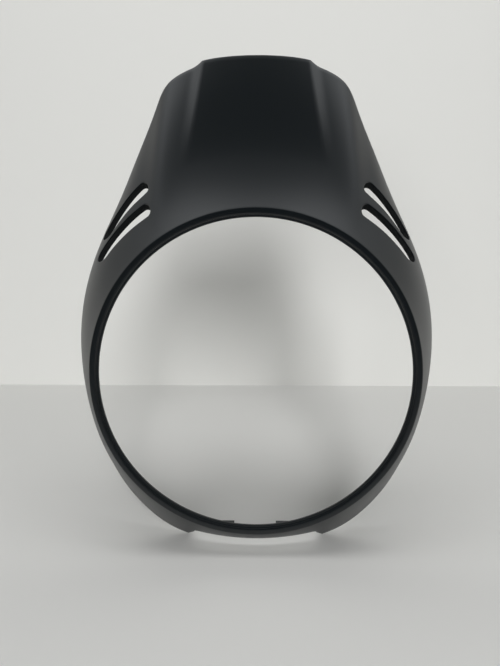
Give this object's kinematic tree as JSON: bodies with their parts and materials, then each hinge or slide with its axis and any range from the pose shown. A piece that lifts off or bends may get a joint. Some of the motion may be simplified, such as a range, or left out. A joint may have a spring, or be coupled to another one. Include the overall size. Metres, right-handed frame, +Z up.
{
  "type": "headlight surround",
  "caption": "Moulded surround for a round motorcycle headlight, with a beaded lamp opening, a short raked flyscreen, side vents and a notch between its feet.",
  "frame": {"origin": "centre of the round lamp opening, on the front plane of its inner lip", "axes": "+Z up towards the flyscreen's crown, +X to the right seen from the front, -Y out of the front along the lamp's axis"},
  "size_m": [0.2336, 0.0967, 0.3139],
  "materials": {
    "satin_black_plastic": "satin black moulded plastic with a fine even grain"
  },
  "bodies": {
    "root": {"headlight_surround": "satin_black_plastic"}
  },
  "joints": []
}
